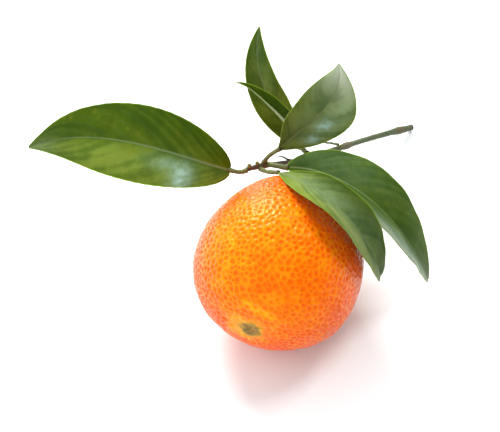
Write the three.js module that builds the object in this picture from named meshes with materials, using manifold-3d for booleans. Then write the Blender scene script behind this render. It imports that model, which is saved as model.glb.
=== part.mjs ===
// A mandarin picked with its twig and leaves, lying on its side on a small flat spot.
// Millimetres, +Z up. The origin is the centre of the flat spot, +X runs to the right along
// the widest spread of leaves, and +Y runs back towards the cut end of the twig.
import * as THREE from 'three';
import { mergeVertices } from 'three/addons/utils/BufferGeometryUtils.js';
import Module from 'manifold-3d';

// ---- Driving dimensions ----------------------------------------------------------------

const FRUIT = {
  equatorRadius: 28.3,
  poleRadius: 29.1, // from the centre to either pole, before the neck and the dimple
  taper: 0.025, // how much fuller the blossom half is than the stem half
  neckHeight: 3, // the low cone that carries the calyx
  neckSpread: 0.8, // radians from the stem pole
  dimpleDepth: 1.4, // the hollow at the blossom end
  dimpleSpread: 0.3, // radians from the blossom pole
  centreHeight: 28, // less than the radius, so the underside rests on a flat spot
  stemDirection: new THREE.Vector3(0.355, 0.935, 0.01).normalize(),
  segments: 40,
  rings: 22,
};

// Three low shoulders that stand out round an axis, the first at this turn from +X.
const SHOULDERS = {
  height: 0.58,
  axis: new THREE.Vector3(0, -0.643, 0.766).normalize(),
  turn: THREE.MathUtils.degToRad(-50),
};

const CALYX = { outerRadius: 3.4, innerRadius: 2.1, thickness: 0.9, lobes: 5 };
const GAP = 0.3; // between pieces that touch

const TWIG = {
  cutRadius: 1.2,
  tipRadius: 0.75,
  nodeSwelling: 0.35,
  nodeReach: 0.035, // of the twig's length, each side of a node
  sides: 8,
  steps: 34,
};

// The twig's route from the cut end to its last node, and how far along it each leaf node is.
const TWIG_ROUTE = [
  [55, 90, 1.45],
  [48, 84.5, 5],
  [34, 71, 14],
  [22.5, 58, 23],
  [9.5, 45.5, 31],
  [2, 38, 37],
  [-6, 32, 42],
  [-10.8, 29.6, 43],
];
const TWIG_NODES = [0.08, 0.45, 0.68, 0.94];

const STALK = { radius: 0.62, endRadius: 0.75, sides: 6, steps: 7 };
const BLADE = { ribThickness: 0.8, edgeThickness: 0.45, across: 6, steps: 18, endTrim: 0.012 };

// Each leaf: the midrib's base, two points on the way, and its tip; the way the upper face
// looks at the base and at the tip; full width; where along its length it is widest; how
// full its two ends are (less than 1 is blunter); how far each half folds up, in degrees;
// the route of its stalk from the twig to the blade; and the stalk's radius if not the usual.
const LEAVES = {
  left: {
    rib: [[-16.5, 29.4, 42.4], [-38, 32.5, 48.5], [-63.5, 42.5, 45], [-90.6, 49.7, 32.1]],
    face: [[0, -0.55, 0.84], [-0.26, -0.63, 0.73]],
    width: 27.5, widest: 0.46, ends: [0.64, 0.92], fold: 13,
    stalk: [[-11.6, 29.1, 42.8], [-13.2, 28.7, 42.5], [-16.3, 29.35, 42.45]],
    stalkRadius: 0.75,
  },
  upper: {
    rib: [[-0.5, 30, 52], [8.5, 32.5, 61], [16, 30, 75.5], [18, 33.5, 88.5]],
    face: [[0.3, -0.9, 0.25], [-0.5, -0.75, -0.4]],
    width: 21, widest: 0.52, ends: [0.77, 0.85], fold: 15,
    stalk: [[-5.1, 32.8, 43.3], [-3.6, 31.6, 47.5], [-0.8, 30.2, 51.65]],
  },
  back: {
    rib: [[9, 48.9, 32.2], [1.5, 55.5, 40.5], [-6, 62, 54.5], [-6.7, 70.5, 72]],
    face: [[-0.32, -0.87, 0.37], [-0.22, -0.81, 0.54]],
    width: 13, widest: 0.5, ends: [0.62, 0.9], fold: 8,
    stalk: [[10.1, 47.25, 32.3], [9.8, 47.9, 32.15], [9.25, 48.6, 32.1]],
  },
  small: {
    rib: [[13, 49.5, 36], [3.5, 43.5, 50], [-5.5, 45, 61], [-15, 46.7, 67.7]],
    face: [[0.45, 0.03, 0.89], [0.45, 0.03, 0.89]],
    width: 9, widest: 0.4, ends: [0.8, 0.95], fold: 43,
    stalk: [[22.2, 58.1, 25.2], [17.4, 54.2, 30.4], [13.3, 49.8, 35.6]],
  },
  front: {
    rib: [[-1, 24, 47.5], [10, 8.5, 57], [23.5, -1.5, 50.5], [34.5, -0.5, 21]],
    face: [[-0.26, 0.14, 0.95], [0.9, -0.29, -0.31]],
    width: 19.5, widest: 0.6, ends: [0.8, 0.5], fold: 17,
    stalk: [[-6.2, 29.6, 42.7], [-4.1, 26.4, 45.1], [-1.4, 24.1, 47.1]],
  },
  side: {
    rib: [[2, 29, 44.2], [18.6, 24.4, 44.3], [37, 15.5, 34.5], [54.5, 13, 0.6]],
    face: [[0.51, 0.03, 0.86], [0.96, -0.29, 0.04]],
    width: 28.5, widest: 0.5, ends: [0.78, 0.68], fold: 19,
    stalk: [[-3.4, 32.4, 42.15], [-1, 30.6, 43.5], [1.6, 29.2, 44.2]],
    stalkRadius: 0.85,
  },
};

// The fruit's own stalk, from the calyx round to the twig.
const PEDICEL = {
  radius: 1.05,
  steps: 9,
  turn: [[13.3, 35.4, 28.5], [15.4, 42, 28.8], [16.3, 49.1, 28.2]],
};

// Buds and the thorn: base, tip and base radius.
const BUDS = {
  tip_bud: { base: [-10.3, 29.8, 44.2], tip: [-10.5, 29.5, 45.4], radius: 0.8 },
  fork_bud: { base: [-7.6, 31.2, 43.9], tip: [-7.8, 31, 45.1], radius: 0.7 },
  middle_bud: { base: [11.5, 46.3, 31.5], tip: [12.6, 45.9, 33.3], radius: 0.75 },
  lower_bud: { base: [23.4, 57.6, 24.6], tip: [24.1, 57.3, 25.9], radius: 0.6 },
};
const THORN = {
  route: [[3.6, 40.7, 37.1], [1.2, 39.7, 38.3], [-0.7, 38.1, 39.8], [-2.6, 37.3, 41]],
  radius: 0.42,
  tipRadius: 0.08,
};

// ---- Finishes --------------------------------------------------------------------------

const finish = (color, roughness) => new THREE.MeshStandardMaterial({ color, roughness, metalness: 0 });
const FINISH = {
  peel: () => finish(0xf07a14, 0.42),
  calyx: () => finish(0x5f6b2c, 0.7),
  twig: () => finish(0x66694a, 0.75),
  stalk: () => finish(0x6c7a3a, 0.6),
  leaf: () => finish(0x2f5a26, 0.4),
  bud: () => finish(0x6f6a33, 0.65),
  thorn: () => finish(0x58402a, 0.6),
};

// ---- Geometry helpers ------------------------------------------------------------------

const vector = ([x, y, z]) => new THREE.Vector3(x, y, z);

/** A closed body through rings of points: walls between neighbours, a fan over each end. */
function loft(rings) {
  const count = rings[0].length;
  const positions = [];
  const index = [];
  for (const ring of rings) {
    for (const point of ring) positions.push(point.x, point.y, point.z);
  }
  for (let i = 0; i < rings.length - 1; i += 1) {
    for (let j = 0; j < count; j += 1) {
      const a = i * count + j;
      const b = i * count + ((j + 1) % count);
      index.push(a, b, b + count, a, b + count, a + count);
    }
  }
  const addCap = (ring, first, outward) => {
    const centre = ring.reduce((sum, point) => sum.add(point), new THREE.Vector3());
    centre.divideScalar(count);
    const hub = positions.length / 3;
    positions.push(centre.x, centre.y, centre.z);
    for (let j = 0; j < count; j += 1) {
      const a = first + j;
      const b = first + ((j + 1) % count);
      if (outward) index.push(hub, a, b);
      else index.push(hub, b, a);
    }
  };
  addCap(rings[0], 0, false);
  addCap(rings.at(-1), (rings.length - 1) * count, true);
  const geometry = new THREE.BufferGeometry();
  geometry.setAttribute('position', new THREE.Float32BufferAttribute(positions, 3));
  geometry.setIndex(index);
  geometry.computeVertexNormals();
  return geometry;
}

/** A round stem along a smooth curve through the points, with its radius given along it. */
function stem(points, radiusAt, sides, steps) {
  const curve = new THREE.CatmullRomCurve3(points.map(vector));
  const frames = curve.computeFrenetFrames(steps);
  const rings = [];
  for (let i = 0; i <= steps; i += 1) {
    const t = i / steps;
    const centre = curve.getPointAt(t);
    const ring = [];
    for (let j = 0; j < sides; j += 1) {
      const turn = (2 * Math.PI * j) / sides;
      const offset = frames.normals[i].clone().multiplyScalar(Math.cos(turn));
      offset.addScaledVector(frames.binormals[i], Math.sin(turn));
      ring.push(centre.clone().addScaledVector(offset, radiusAt(t)));
    }
    rings.push(ring);
  }
  return loft(rings);
}

/** The cubic that passes through four points at 0, 1/3, 2/3 and 1 of its parameter. */
function ribCurve(points) {
  const [base, lower, upper, tip] = points.map(vector);
  const blend = (a, b, c, d) => new THREE.Vector3()
    .addScaledVector(base, a / 6)
    .addScaledVector(lower, b / 6)
    .addScaledVector(upper, c / 6)
    .addScaledVector(tip, d / 6);
  return new THREE.CubicBezierCurve3(base, blend(-5, 18, -9, 2), blend(2, -9, 18, -5), tip);
}

/** Half the blade's width at s, from 0 at the base to 1 at the tip. */
function halfWidth(leaf, s) {
  const skew = Math.log(0.5) / Math.log(leaf.widest);
  const fullness = THREE.MathUtils.lerp(leaf.ends[0], leaf.ends[1], s);
  return 0.5 * leaf.width * Math.sin(Math.PI * s ** skew) ** fullness;
}

// ---- Sub-parts -------------------------------------------------------------------------

/** The fruit's radius at an angle from the stem pole. */
function fruitRadius(angle) {
  const ellipse = 1 / Math.hypot(
    Math.cos(angle) / FRUIT.poleRadius,
    Math.sin(angle) / FRUIT.equatorRadius,
  );
  const body = ellipse * (1 - FRUIT.taper * Math.cos(angle));
  const neck = FRUIT.neckHeight * Math.exp(-((angle / FRUIT.neckSpread) ** 2));
  const fromBlossom = Math.PI - angle;
  const dimple = FRUIT.dimpleDepth * Math.exp(-((fromBlossom / FRUIT.dimpleSpread) ** 2));
  return body + neck - dimple;
}

/** How far the shoulders stand out of the round fruit in a direction from its centre. */
function shoulderHeight(direction) {
  const right = new THREE.Vector3(1, 0, 0);
  const across = direction.dot(right);
  const over = direction.dot(SHOULDERS.axis.clone().cross(right));
  const reach = Math.hypot(across, over) ** 3;
  return SHOULDERS.height * reach * Math.cos(3 * (Math.atan2(over, across) - SHOULDERS.turn));
}

/** The fruit on its side: lathed, given its shoulders, and cut level where it rests. */
async function makeFruit() {
  const profile = [];
  for (let i = 0; i <= FRUIT.rings; i += 1) {
    const angle = Math.PI * (1 - i / FRUIT.rings);
    const across = i === 0 || i === FRUIT.rings ? 0 : Math.sin(angle);
    const radius = fruitRadius(angle);
    profile.push(new THREE.Vector2(across * radius, Math.cos(angle) * radius));
  }
  const body = new THREE.LatheGeometry(profile, FRUIT.segments);
  const upright = new THREE.Vector3(0, 1, 0);
  body.applyQuaternion(new THREE.Quaternion().setFromUnitVectors(upright, FRUIT.stemDirection));
  const { position } = body.attributes;
  for (let i = 0; i < position.count; i += 1) {
    const point = new THREE.Vector3().fromBufferAttribute(position, i);
    const direction = point.clone().normalize();
    point.addScaledVector(direction, shoulderHeight(direction));
    position.setXYZ(i, point.x, point.y, point.z);
  }
  body.translate(0, 0, FRUIT.centreHeight);

  const side = 4 * FRUIT.equatorRadius;
  const space = new THREE.BoxGeometry(side, side, side);
  space.translate(0, 0, side / 2);

  const wasm = await Module();
  wasm.setup();
  const solid = (geometry) => {
    geometry.deleteAttribute('normal');
    geometry.deleteAttribute('uv');
    const merged = mergeVertices(geometry, 1e-3);
    return new wasm.Manifold(new wasm.Mesh({
      numProp: 3,
      vertProperties: new Float32Array(merged.attributes.position.array),
      triVerts: new Uint32Array(merged.index.array),
    }));
  };
  const cut = solid(body).intersect(solid(space)).getMesh();
  const geometry = new THREE.BufferGeometry();
  geometry.setAttribute('position', new THREE.BufferAttribute(new Float32Array(cut.vertProperties), 3));
  geometry.setIndex(new THREE.BufferAttribute(new Uint32Array(cut.triVerts), 1));
  geometry.computeVertexNormals();
  return geometry;
}

const fruitCentre = () => new THREE.Vector3(0, 0, FRUIT.centreHeight);

/** A point on the fruit's axis, this far out from the stem end of the peel. */
function pastStemEnd(distance) {
  const peel = fruitRadius(0) + shoulderHeight(FRUIT.stemDirection);
  return fruitCentre().addScaledVector(FRUIT.stemDirection, peel + distance);
}

/** The dried star that stays between the fruit and its stalk. */
function makeCalyx() {
  const star = new THREE.Shape();
  for (let i = 0; i < 2 * CALYX.lobes; i += 1) {
    const radius = i % 2 === 0 ? CALYX.outerRadius : CALYX.innerRadius;
    const turn = (Math.PI * i) / CALYX.lobes;
    const point = [radius * Math.cos(turn), radius * Math.sin(turn)];
    if (i === 0) star.moveTo(...point);
    else star.lineTo(...point);
  }
  star.closePath();
  const geometry = new THREE.ExtrudeGeometry(star, { depth: CALYX.thickness, bevelEnabled: false });
  const outward = new THREE.Vector3(0, 0, 1);
  geometry.applyQuaternion(new THREE.Quaternion().setFromUnitVectors(outward, FRUIT.stemDirection));
  const seat = pastStemEnd(GAP);
  geometry.translate(seat.x, seat.y, seat.z);
  return geometry;
}

/** The stalk that held the fruit: straight off the calyx, then round to the twig. */
function makePedicel() {
  const start = pastStemEnd(CALYX.thickness + 2 * GAP);
  return stem([start.toArray(), ...PEDICEL.turn], () => PEDICEL.radius, STALK.sides, PEDICEL.steps);
}

/** The tapering twig, a little thicker at each leaf node. */
function makeTwig() {
  const radiusAt = (t) => {
    const taper = THREE.MathUtils.lerp(TWIG.cutRadius, TWIG.tipRadius, t);
    const swelling = TWIG_NODES.reduce(
      (sum, node) => sum + TWIG.nodeSwelling * Math.exp(-(((t - node) / TWIG.nodeReach) ** 2)),
      0,
    );
    return taper + swelling;
  };
  return stem(TWIG_ROUTE, radiusAt, TWIG.sides, TWIG.steps);
}

/** One leaf stalk, a little wider where it meets the twig and the blade. */
function makeStalk(leaf) {
  const waist = leaf.stalkRadius ?? STALK.radius;
  const end = Math.max(waist, STALK.endRadius);
  const radiusAt = (t) => THREE.MathUtils.lerp(waist, end, (2 * t - 1) ** 2);
  return stem(leaf.stalk, radiusAt, STALK.sides, STALK.steps);
}

/** One leaf blade: a thin folded sheet, thickest along the midrib. */
function makeBlade(leaf) {
  const curve = ribCurve(leaf.rib);
  const fold = THREE.MathUtils.degToRad(leaf.fold);
  const [faceBase, faceTip] = leaf.face.map(vector);
  const rings = [];
  for (let i = 0; i <= BLADE.steps; i += 1) {
    const s = THREE.MathUtils.lerp(BLADE.endTrim, 1 - BLADE.endTrim, i / BLADE.steps);
    const centre = curve.getPoint(s);
    const along = curve.getTangent(s);
    const up = faceBase.clone().lerp(faceTip, s);
    up.addScaledVector(along, -up.dot(along)).normalize();
    const right = along.clone().cross(up);
    const reach = halfWidth(leaf, s);
    const pointAt = (c, side) => {
      const thickness = THREE.MathUtils.lerp(BLADE.ribThickness, BLADE.edgeThickness, Math.abs(c));
      return centre.clone()
        .addScaledVector(right, c * reach * Math.cos(fold))
        .addScaledVector(up, Math.abs(c) * reach * Math.sin(fold) + 0.5 * side * thickness);
    };
    const ring = [];
    for (let j = 0; j <= BLADE.across; j += 1) ring.push(pointAt(1 - (2 * j) / BLADE.across, -1));
    for (let j = 0; j <= BLADE.across; j += 1) ring.push(pointAt((2 * j) / BLADE.across - 1, 1));
    rings.push(ring);
  }
  return loft(rings);
}

/** A small pointed bud: a swollen cone with a rounded tip. */
function makeBud({ base, tip, radius }) {
  const radiusAt = (t) => radius * (0.55 + 0.9 * t) * Math.sqrt(1 - t) + 0.06;
  return stem([base, tip], radiusAt, STALK.sides, 5);
}

/** The single thorn, tapering to a point. */
function makeThorn() {
  const radiusAt = (t) => THREE.MathUtils.lerp(THORN.radius, THORN.tipRadius, t);
  return stem(THORN.route, radiusAt, 5, 6);
}

// ---- Assembly --------------------------------------------------------------------------

const group = new THREE.Group();

function add(name, geometry, material) {
  const mesh = new THREE.Mesh(geometry, material);
  mesh.name = name;
  group.add(mesh);
}

add('fruit', await makeFruit(), FINISH.peel());
add('calyx', makeCalyx(), FINISH.calyx());
add('pedicel', makePedicel(), FINISH.stalk());
add('twig', makeTwig(), FINISH.twig());
for (const [name, leaf] of Object.entries(LEAVES)) {
  add(`${name}_leaf`, makeBlade(leaf), FINISH.leaf());
  add(`${name}_leaf_stalk`, makeStalk(leaf), FINISH.stalk());
}
for (const [name, bud] of Object.entries(BUDS)) add(name, makeBud(bud), FINISH.bud());
add('thorn', makeThorn(), FINISH.thorn());

export default group;
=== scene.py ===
"""A mandarin picked with its twig and leaves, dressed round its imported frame.

Sizes in the classes are millimetres in the row frame; a mesh turns into metres as it is made.
"""

import logging
import math
from dataclasses import dataclass, field
from enum import Enum

import bpy
import numpy as np
from mathutils.kdtree import KDTree
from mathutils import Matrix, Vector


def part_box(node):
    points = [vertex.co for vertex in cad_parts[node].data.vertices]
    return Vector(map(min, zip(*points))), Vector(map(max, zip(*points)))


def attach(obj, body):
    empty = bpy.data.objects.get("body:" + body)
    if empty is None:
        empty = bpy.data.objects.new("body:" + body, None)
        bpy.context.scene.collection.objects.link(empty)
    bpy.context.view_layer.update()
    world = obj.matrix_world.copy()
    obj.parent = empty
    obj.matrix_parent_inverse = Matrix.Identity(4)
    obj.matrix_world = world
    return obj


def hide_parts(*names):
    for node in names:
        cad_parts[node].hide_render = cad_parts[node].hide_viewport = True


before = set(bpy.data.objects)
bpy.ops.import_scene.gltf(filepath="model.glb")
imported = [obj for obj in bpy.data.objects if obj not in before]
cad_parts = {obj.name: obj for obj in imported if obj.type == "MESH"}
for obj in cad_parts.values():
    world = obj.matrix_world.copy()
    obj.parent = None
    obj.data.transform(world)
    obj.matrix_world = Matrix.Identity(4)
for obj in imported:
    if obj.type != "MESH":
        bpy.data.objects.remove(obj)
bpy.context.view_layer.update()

MM = 0.001
BODY = "root"
log = logging.getLogger("mandarin")

Point = tuple[float, float, float]
Colour = tuple[float, float, float]
Value = bpy.types.NodeSocket | float | Colour


class Slot(Enum):
    """The finishes that the record names."""

    PEEL = "peel"
    CALYX = "calyx"
    GREEN_STEM = "green_stem"
    BARK = "bark"
    LEAF = "leaf"
    BUD = "bud"
    THORN = "thorn"


class Tint(Enum):
    """The painted light that can lie over a blade's plain green, named as the mesh marks it: painted sheen,
    painted light, painted shade and painted glare.
    """

    # painted sheen: a bluish-white gloss on parts of a blade
    SHEEN_PAINT = "painted_sheen"
    # painted light: paler green where a blade is lit
    LIGHT_PAINT = "pale"
    # painted shade: darker green where a blade lies in shade
    SHADE_PAINT = "deep"
    # painted glare: whitish reflection at tips and curled edges
    GLARE_PAINT = "painted_glare"


# ---- Shape helpers ---------------------------------------------------------------------


def unit(vectors: np.ndarray) -> np.ndarray:
    """Vectors at length one."""
    return vectors / np.linalg.norm(vectors, axis=-1, keepdims=True)


def smoothstep(low: float, high: float, value: np.ndarray) -> np.ndarray:
    """0 below low, 1 above high, and an S-curve between them."""
    share = np.clip((value - low) / (high - low), 0.0, 1.0)
    return share * share * (3.0 - 2.0 * share)


def wobble(points: np.ndarray, wavelength: float, seed: int, waves: int = 10) -> np.ndarray:
    """Smooth, repeatable unevenness in space, about 1 in size.

    Args:
        points: Places, one a row, in millimetres.
        wavelength: The usual distance between two swells.
        seed: Picks the pattern.
        waves: How many plane waves are added up.

    Returns:
        One number for each point.
    """
    rng = np.random.default_rng(seed)
    directions = unit(rng.normal(size=(waves, 3)))
    lengths = wavelength * rng.uniform(0.7, 1.4, waves)
    phases = rng.uniform(0.0, 2.0 * np.pi, waves)
    swell = np.sin(points @ (directions * (2.0 * np.pi / lengths)[:, None]).T + phases)
    return swell.sum(axis=1) / math.sqrt(waves / 2.0)


def smooth_path(points: list[Point], count: int) -> np.ndarray:
    """A centripetal spline through the points, at even steps along its length.

    Args:
        points: The places that the path passes.
        count: How many places to give back.

    Returns:
        The places along the path, one a row.
    """
    given = np.array(points, float)
    ends = (2.0 * given[0] - given[1], 2.0 * given[-1] - given[-2])
    knots = np.vstack([ends[0], given, ends[1]])
    fine = []
    share = np.linspace(0.0, 1.0, 40, endpoint=False)[:, None]
    for before, start, end, after in zip(knots, knots[1:], knots[2:], knots[3:]):
        gap_in, gap, gap_out = (
            math.sqrt(np.linalg.norm(b - a)) for a, b in ((before, start), (start, end), (end, after))
        )
        leave = (start - before) / gap_in - (end - before) / (gap_in + gap) + (end - start) / gap
        arrive = (end - start) / gap - (after - start) / (gap + gap_out) + (after - end) / gap_out
        leave, arrive = leave * gap, arrive * gap
        square = -3.0 * start + 3.0 * end - 2.0 * leave - arrive
        cube = 2.0 * start - 2.0 * end + leave + arrive
        fine.append(start + leave * share + square * share**2 + cube * share**3)
    line = np.vstack([*fine, given[-1:]])
    travelled = np.concatenate([[0.0], np.cumsum(np.linalg.norm(np.diff(line, axis=0), axis=1))])
    even = np.linspace(0.0, travelled[-1], count)
    return np.stack([np.interp(even, travelled, line[:, axis]) for axis in range(3)], axis=1)


def carried_frames(path: np.ndarray) -> tuple[np.ndarray, np.ndarray, np.ndarray]:
    """Directions that go along a path without twisting about it.

    Args:
        path: Places along the path, one a row.

    Returns:
        The directions along the path, and two directions across it, one row for each place.
    """
    along = unit(np.gradient(path, axis=0))
    across = np.empty_like(path)
    start = np.cross(along[0], (0.0, 0.0, 1.0))
    across[0] = unit(start) if np.linalg.norm(start) > 1e-3 else np.array((1.0, 0.0, 0.0))
    for i in range(1, len(path)):
        carried = across[i - 1] - along[i] * (across[i - 1] @ along[i])
        across[i] = unit(carried)
    return along, across, np.cross(along, across)


def grid_faces(rows: int, columns: int, wrap: bool, first: int = 0, flip: bool = False) -> list:
    """Four-sided faces over a grid of vertices laid down row by row.

    Args:
        rows: How many rows of vertices.
        columns: How many vertices a row has.
        wrap: Whether the last column joins the first.
        first: The number of the grid's first vertex.
        flip: Turns the faces over.

    Returns:
        The faces as lists of vertex numbers.
    """
    width = columns if wrap else columns - 1
    row, column = np.meshgrid(np.arange(rows - 1), np.arange(width), indexing="ij")
    beside = (column + 1) % columns
    corners = [row * columns + column, row * columns + beside,
               (row + 1) * columns + beside, (row + 1) * columns + column]
    faces = first + np.stack(corners, axis=-1).reshape(-1, 4)
    return (faces[:, ::-1] if flip else faces).tolist()


@dataclass
class Form:
    """A mesh while it is being made, in millimetres."""

    vertices: np.ndarray
    faces: list
    marks: dict[str, np.ndarray] = field(default_factory=dict)
    face_materials: list[int] | None = None

    def make(self, name: str, materials: list[bpy.types.Material]) -> bpy.types.Object:
        """Turns the form into a smooth object in the scene.

        Args:
            name: The object's name.
            materials: Its finishes, in the order that face_materials counts them.

        Returns:
            The new object.
        """
        mesh = bpy.data.meshes.new(name)
        mesh.from_pydata((self.vertices * MM).tolist(), [], self.faces)
        mesh.validate()
        mesh.update()
        for mark, values in self.marks.items():
            layer = mesh.attributes.new(mark, "FLOAT", "POINT")
            layer.data.foreach_set("value", values.astype(np.float32))
        for material in materials:
            mesh.materials.append(material)
        if self.face_materials is not None:
            mesh.polygons.foreach_set("material_index", self.face_materials)
        mesh.polygons.foreach_set("use_smooth", [True] * len(mesh.polygons))
        piece = bpy.data.objects.new(name, mesh)
        bpy.context.scene.collection.objects.link(piece)
        return piece


def tube(path: np.ndarray, radii: np.ndarray, sides: int, open_start: bool = False) -> Form:
    """A round form along a path, with a fan over each end.

    Args:
        path: Places along the middle, one a row.
        radii: The radius at each place, or at each place and side.
        sides: How many vertices go round.
        open_start: Leaves the first end open.

    Returns:
        The form, marked with its share of the way along.
    """
    _, across, over = carried_frames(path)
    turn = np.linspace(0.0, 2.0 * np.pi, sides, endpoint=False)
    radii = np.broadcast_to(radii if radii.ndim == 2 else radii[:, None], (len(path), sides))
    spokes = np.cos(turn)[None, :, None] * across[:, None] + np.sin(turn)[None, :, None] * over[:, None]
    skin = (path[:, None] + radii[..., None] * spokes).reshape(-1, 3)
    faces = grid_faces(len(path), sides, wrap=True)
    hub, last = len(skin), (len(path) - 1) * sides
    faces += [[hub, last + j, last + (j + 1) % sides] for j in range(sides)]
    along = np.append(np.repeat(np.linspace(0.0, 1.0, len(path)), sides), 1.0)
    if open_start:
        return Form(np.vstack([skin, path[-1:]]), faces, {"along": along})
    faces += [[hub + 1, (j + 1) % sides, j] for j in range(sides)]
    return Form(np.vstack([skin, path[-1:], path[:1]]), faces, {"along": np.append(along, 0.0)})


def stand_for(piece: bpy.types.Object, node: str) -> None:
    """Puts a finished piece in the place of its CAD node and reports it.

    Args:
        piece: The finished object.
        node: The CAD node that it is the look of.
    """
    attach(piece, BODY)
    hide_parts(node)
    low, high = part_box(node)
    corners = np.array([v.co for v in piece.data.vertices])
    proud = max(*(np.array(low) - corners.min(axis=0)), *(corners.max(axis=0) - np.array(high)))
    log.info("%s: %d faces, at most %.2f mm outside its node's box",
             piece.name, len(piece.data.polygons), proud / MM)


# ---- Finishes --------------------------------------------------------------------------


class Shader:
    """A material's node tree, with short ways to add what these finishes use."""

    def __init__(self, name: str) -> None:
        """Starts a material with one principled shader.

        Args:
            name: The material's name.
        """
        self.material = bpy.data.materials.new(name)
        self.material.use_nodes = True
        self.nodes = self.material.node_tree.nodes
        self.links = self.material.node_tree.links
        self.surface = self.nodes["Principled BSDF"]

    def put(self, socket: bpy.types.NodeSocket, value: Value) -> None:
        """Links a socket to another, or sets it to a number, a colour or a vector.

        Args:
            socket: The input to set.
            value: A socket, or what the input is to hold.
        """
        if isinstance(value, bpy.types.NodeSocket):
            self.links.new(value, socket)
        elif isinstance(value, tuple) and len(value) == 3 and socket.type == "RGBA":
            socket.default_value = (*value, 1.0)
        else:
            socket.default_value = value

    def mark(self, name: str) -> bpy.types.NodeSocket:
        """A number that the mesh holds at each of its vertices.

        Args:
            name: The mark's name on the mesh.

        Returns:
            The number.
        """
        node = self.nodes.new("ShaderNodeAttribute")
        node.attribute_name = name
        return node.outputs["Fac"]

    def place(self) -> bpy.types.NodeSocket:
        """The place on the object, in metres."""
        return self.nodes.new("ShaderNodeTexCoord").outputs["Object"]

    def noise(self, size: float, detail: float = 3.0, roughness: float = 0.55,
              stretch: Point | None = None, vector: bpy.types.NodeSocket | None = None,
              ) -> bpy.types.NodeSocket:
        """Cloudy noise from 0 to 1.

        Args:
            size: The usual width of one patch, in millimetres.
            detail: How many finer layers it has.
            roughness: How strong the finer layers are.
            stretch: How much wider patches are along each axis.
            vector: Where the noise is read, in metres. The object's own place if left out.

        Returns:
            The noise.
        """
        node = self.nodes.new("ShaderNodeTexNoise")
        node.inputs["Scale"].default_value = 1.0 / (size * MM)
        node.inputs["Detail"].default_value = detail
        node.inputs["Roughness"].default_value = roughness
        vector = vector or self.place()
        if stretch:
            mapping = self.nodes.new("ShaderNodeMapping")
            mapping.inputs["Scale"].default_value = tuple(1.0 / s for s in stretch)
            self.links.new(vector, mapping.inputs["Vector"])
            vector = mapping.outputs["Vector"]
        self.links.new(vector, node.inputs["Vector"])
        return node.outputs["Fac"]

    def cells(self, size: float, randomness: float = 1.0) -> bpy.types.NodeSocket:
        """Distance to the nearest of many scattered dots, from 0 at a dot to about 1.

        Args:
            size: The usual gap between two dots, in millimetres.
            randomness: How uneven the gaps are, from 0 to 1.

        Returns:
            The distance, in shares of the gap.
        """
        node = self.nodes.new("ShaderNodeTexVoronoi")
        node.inputs["Scale"].default_value = 1.0 / (size * MM)
        node.inputs["Randomness"].default_value = randomness
        self.links.new(self.place(), node.inputs["Vector"])
        return node.outputs["Distance"]

    def math(self, operation: str, first: Value, second: Value = 0.0) -> bpy.types.NodeSocket:
        """One sum of two numbers, either of which may be a socket.

        Args:
            operation: The kind of sum.
            first: The first number.
            second: The second number, where the sum has one.

        Returns:
            The result.
        """
        node = self.nodes.new("ShaderNodeMath")
        node.operation = operation
        self.put(node.inputs[0], first)
        self.put(node.inputs[1], second)
        return node.outputs[0]

    def span(self, value: Value, low: float, high: float, start: float = 0.0, end: float = 1.0,
             ) -> bpy.types.NodeSocket:
        """Maps low..high smoothly onto start..end.

        Args:
            value: The number to map.
            low: Where the change starts.
            high: Where it ends. It may be less than low.
            start: The result at low.
            end: The result at high.

        Returns:
            The mapped number.
        """
        node = self.nodes.new("ShaderNodeMapRange")
        node.interpolation_type = "SMOOTHSTEP"
        if low > high:
            low, high, start, end = high, low, end, start
        for socket, number in zip(("From Min", "From Max", "To Min", "To Max"), (low, high, start, end)):
            node.inputs[socket].default_value = number
        self.put(node.inputs["Value"], value)
        return node.outputs["Result"]

    def mix(self, share: Value, first: Value, second: Value) -> bpy.types.NodeSocket:
        """Mixes two colours by a share of the second.

        Args:
            share: How much of the second, from 0 to 1.
            first: The colour at 0.
            second: The colour at 1.

        Returns:
            The mixed colour.
        """
        node = self.nodes.new("ShaderNodeMix")
        node.data_type = "RGBA"
        self.put(node.inputs["Factor"], share)
        self.put(node.inputs[6], first)
        self.put(node.inputs[7], second)
        return node.outputs[2]

    def bump(self, height: Value, depth: float, below: bpy.types.NodeSocket | None = None,
             ) -> bpy.types.NodeSocket:
        """A relief too fine for the mesh.

        Args:
            height: The relief, from 0 to 1.
            depth: How high 1 stands above 0, in millimetres.
            below: A coarser relief that this one lies on.

        Returns:
            The bent normal.
        """
        node = self.nodes.new("ShaderNodeBump")
        node.inputs["Strength"].default_value = 1.0
        node.inputs["Distance"].default_value = depth * MM
        self.put(node.inputs["Height"], height)
        if below:
            self.links.new(below, node.inputs["Normal"])
        return node.outputs["Normal"]

    def finish(self, **sockets) -> bpy.types.Material:
        """Sets the principled shader's sockets by name, with _ for a space.

        Args:
            **sockets: Numbers, colours or sockets.

        Returns:
            The finished material.
        """
        for name, value in sockets.items():
            self.put(self.surface.inputs[name.replace("_", " ")], value)
        return self.material


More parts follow.
